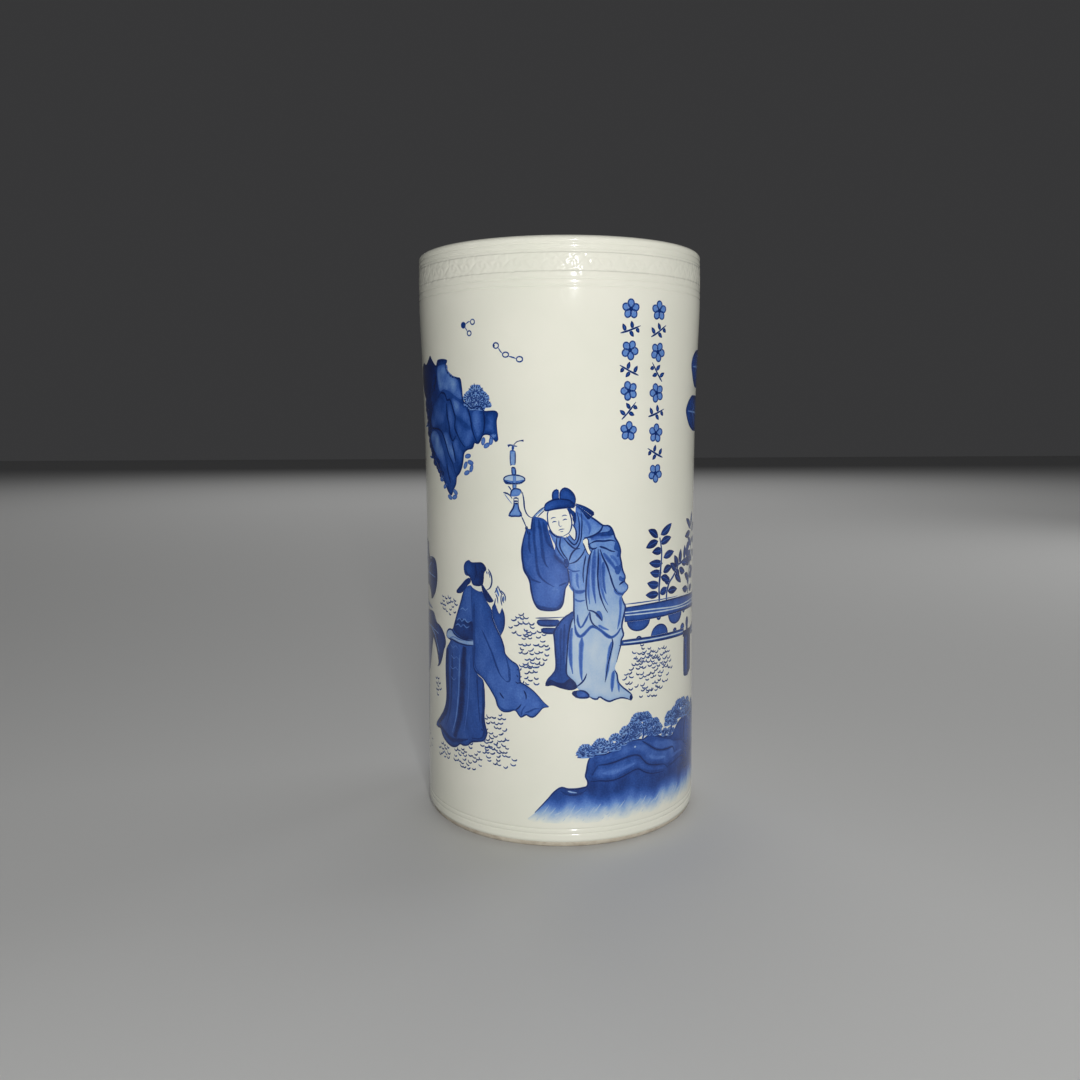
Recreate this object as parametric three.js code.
// A tall porcelain brush pot: a gently waisted, open cylinder that stands on a shallow foot ring.
// The pot is fired as one, from a thrown wall, a floor slab, the slip that lutes them together
// and three coats of clear glaze. Each of those layers is a solid of its own here.
// Millimetres, +Z up. The origin is on the axis, in the plane that the foot ring stands on.

import * as THREE from 'three';

// Driving dimensions.
const HEIGHT = 210;
const SEGMENTS = 64;
const GLAZE = 0.4;

// Hairline left between solids that touch, so that no two of them share any space.
const SEAM = 0.02;

// The glazed outside, as [height, radius] from the table to the rim. It narrows to a waist
// below the middle, swells under the rim and draws in a little at the lip.
const SILHOUETTE = [
  [0, 52.4],
  [21, 52.2],
  [42, 51.95],
  [63, 51.68],
  [84, 51.5],
  [126, 51.5],
  [143, 51.55],
  [160, 51.8],
  [174, 52.2],
  [183, 52.58],
  [190, 52.82],
  [200, 52.76],
  [210, 52.5],
];

// Pairs of fine lines turned into the wall while it was leather hard, under the rim and above the foot.
const RING_HEIGHTS = [5.1, 6.9, 193.6, 195.9, 205.4, 207.2];
const RING_WIDTH = 0.7;
const RING_DEPTH = 0.16;

// The porcelain wall tapers from the foot to the lip, which is rounded over its whole thickness.
const BORE_RADIUS_AT_FOOT = 45.6;
const BORE_RADIUS_AT_RIM = 47.5;
const LIP_RISE = 1.3;
const LIP_STEPS = 6;

// The foot ring: the bare, bevelled edge that the pot stands on.
const FOOT_BEVEL = 1.2;
const GLAZE_START = 1.8;

// The floor slab, lifted clear of the table, and the slip that holds it.
const RECESS = 3.4;
const FLOOR_THICKNESS = 9;
const SLIP_WIDTH = 1;
const COVE_RADIUS = 5;
const COVE_STEPS = 5;

const FLOOR_TOP = RECESS + FLOOR_THICKNESS;
const COVE_TOP = FLOOR_TOP + COVE_RADIUS;
const LIP_BASE = HEIGHT - GLAZE - LIP_RISE;
const SLAB_RADIUS = BORE_RADIUS_AT_FOOT - SLIP_WIDTH;

// Radius of the glazed outside at a height.
function outerRadius(z) {
  const upper = Math.max(1, SILHOUETTE.findIndex(([height]) => height >= z));
  const [z0, r0] = SILHOUETTE[upper - 1];
  const [z1, r1] = SILHOUETTE[upper];
  return THREE.MathUtils.mapLinear(z, z0, z1, r0, r1);
}

// Radius of the porcelain under the outer glaze.
function bodyRadius(z) {
  return outerRadius(z) - GLAZE;
}

// Radius of the porcelain bore under the inner glaze.
function boreRadius(z) {
  return THREE.MathUtils.mapLinear(z, 0, HEIGHT, BORE_RADIUS_AT_FOOT, BORE_RADIUS_AT_RIM);
}

// Points [radius, height] up the porcelain's outside, from the start of the glaze to the lip,
// standing off it by the given coat.
function bodyOutside(coat) {
  const heights = SILHOUETTE.map(([height]) => height);
  const between = heights.filter((z) => z > GLAZE_START && z < LIP_BASE);
  return [GLAZE_START, ...between, LIP_BASE].map((z) => [bodyRadius(z) + coat, z]);
}

// Points over the lip from outside to inside, standing off the porcelain by the given coat.
function lip(coat) {
  const outside = bodyRadius(LIP_BASE);
  const inside = boreRadius(LIP_BASE);
  const middle = (outside + inside) / 2;
  const halfWidth = (outside - inside) / 2 + coat;
  const rise = LIP_RISE + coat;
  const points = [];
  for (let step = 0; step <= LIP_STEPS; step += 1) {
    const angle = (Math.PI * step) / LIP_STEPS;
    points.push([middle + halfWidth * Math.cos(angle), LIP_BASE + rise * Math.sin(angle)]);
  }
  return points;
}

// Points of the glazed outside from the lip's base down to the foot, with the turned rings cut in.
function glazedOutside() {
  const plain = SILHOUETTE.map(([height]) => height).filter(
    (z) => z > GLAZE_START && z < LIP_BASE && !RING_HEIGHTS.some((ring) => Math.abs(ring - z) < RING_WIDTH),
  );
  const points = [GLAZE_START + GLAZE, ...plain].map((z) => [outerRadius(z), z]);
  for (const ring of RING_HEIGHTS) {
    const above = ring + RING_WIDTH / 2;
    const below = ring - RING_WIDTH / 2;
    points.push([outerRadius(below), below]);
    points.push([outerRadius(ring) - RING_DEPTH, ring]);
    points.push([outerRadius(above), above]);
  }
  return points.sort((a, b) => b[1] - a[1]);
}

// Points of the hollow quarter round where the floor meets the wall, from the wall to the floor,
// standing off the porcelain by the given coat.
function cove(coat) {
  const wall = boreRadius(COVE_TOP);
  const centre = wall - COVE_RADIUS;
  const radius = COVE_RADIUS - coat;
  const points = [];
  for (let step = 0; step <= COVE_STEPS; step += 1) {
    const angle = (Math.PI / 2) * (step / COVE_STEPS);
    points.push([centre + radius * Math.cos(angle), COVE_TOP - radius * Math.sin(angle)]);
  }
  return points;
}

// A closed or axis-to-axis profile of [radius, height] points, spun about the vertical axis.
function spin(name, profile, material) {
  const points = profile.map(([radius, height]) => new THREE.Vector2(radius, height));
  const geometry = new THREE.LatheGeometry(points, SEGMENTS);
  geometry.rotateX(Math.PI / 2);
  const mesh = new THREE.Mesh(geometry, material);
  mesh.name = name;
  return mesh;
}

// Fired porcelain without glaze, such as the foot that the pot stands on.
function biscuit() {
  return new THREE.MeshStandardMaterial({ color: 0xe6dfd0, roughness: 0.6, metalness: 0 });
}

// Clear, slightly grey-green glaze over white porcelain.
function glaze() {
  return new THREE.MeshStandardMaterial({ color: 0xe2e2d4, roughness: 0.1, metalness: 0 });
}

// The thrown and turned wall, which runs down to the table as the foot ring.
function wallCylinder() {
  const foot = [
    [boreRadius(RECESS), RECESS],
    [boreRadius(0) + FOOT_BEVEL / 2, 0],
    [bodyRadius(0) - FOOT_BEVEL, 0],
  ];
  const bore = [boreRadius(COVE_TOP), COVE_TOP];
  const profile = [...foot, ...bodyOutside(0), ...lip(0).slice(1), bore, foot[0]];
  return spin('wall_cylinder', profile, biscuit());
}

// The slab that closes the pot, a little above the table.
function floorDisc() {
  const profile = [
    [0, RECESS],
    [SLAB_RADIUS, RECESS],
    [SLAB_RADIUS, FLOOR_TOP],
    [0, FLOOR_TOP],
  ];
  return spin('floor_disc', profile, biscuit());
}

// Slip that lutes the slab into the wall, smoothed into a cove on the inside.
function lutingSlip() {
  const inside = SLAB_RADIUS + SEAM;
  const outside = boreRadius(RECESS) - SEAM;
  const [start, ...rest] = cove(0);
  const profile = [
    [inside, RECESS],
    [outside, RECESS],
    [start[0] - SEAM, start[1]],
    ...rest,
    [inside, FLOOR_TOP],
    [inside, RECESS],
  ];
  return spin('luting_slip', profile, biscuit());
}

// The coat on the outside, from just above the foot up and over the lip.
function outerGlaze() {
  const under = [...bodyOutside(SEAM), ...lip(SEAM).slice(1)];
  const over = [...lip(GLAZE).reverse(), ...glazedOutside()];
  return spin('outer_glaze', [...under, ...over, under[0]].reverse(), glaze());
}

// The coat on the bore, the cove and the floor.
function innerGlaze() {
  const top = LIP_BASE - SEAM;
  const under = [[boreRadius(top) - SEAM, top], ...cove(SEAM), [0, FLOOR_TOP + SEAM]];
  const over = [[0, FLOOR_TOP + GLAZE], ...cove(GLAZE).reverse(), [boreRadius(top) - GLAZE, top]];
  return spin('inner_glaze', [...under, ...over, under[0]].reverse(), glaze());
}

// The coat on the underside, inside the foot ring.
function baseGlaze() {
  const profile = [
    [0, RECESS - GLAZE],
    [SLAB_RADIUS, RECESS - GLAZE],
    [SLAB_RADIUS, RECESS - SEAM],
    [0, RECESS - SEAM],
  ];
  return spin('base_glaze', profile, glaze());
}

const group = new THREE.Group();
group.add(wallCylinder(), floorDisc(), lutingSlip(), outerGlaze(), innerGlaze(), baseGlaze());

export default group;
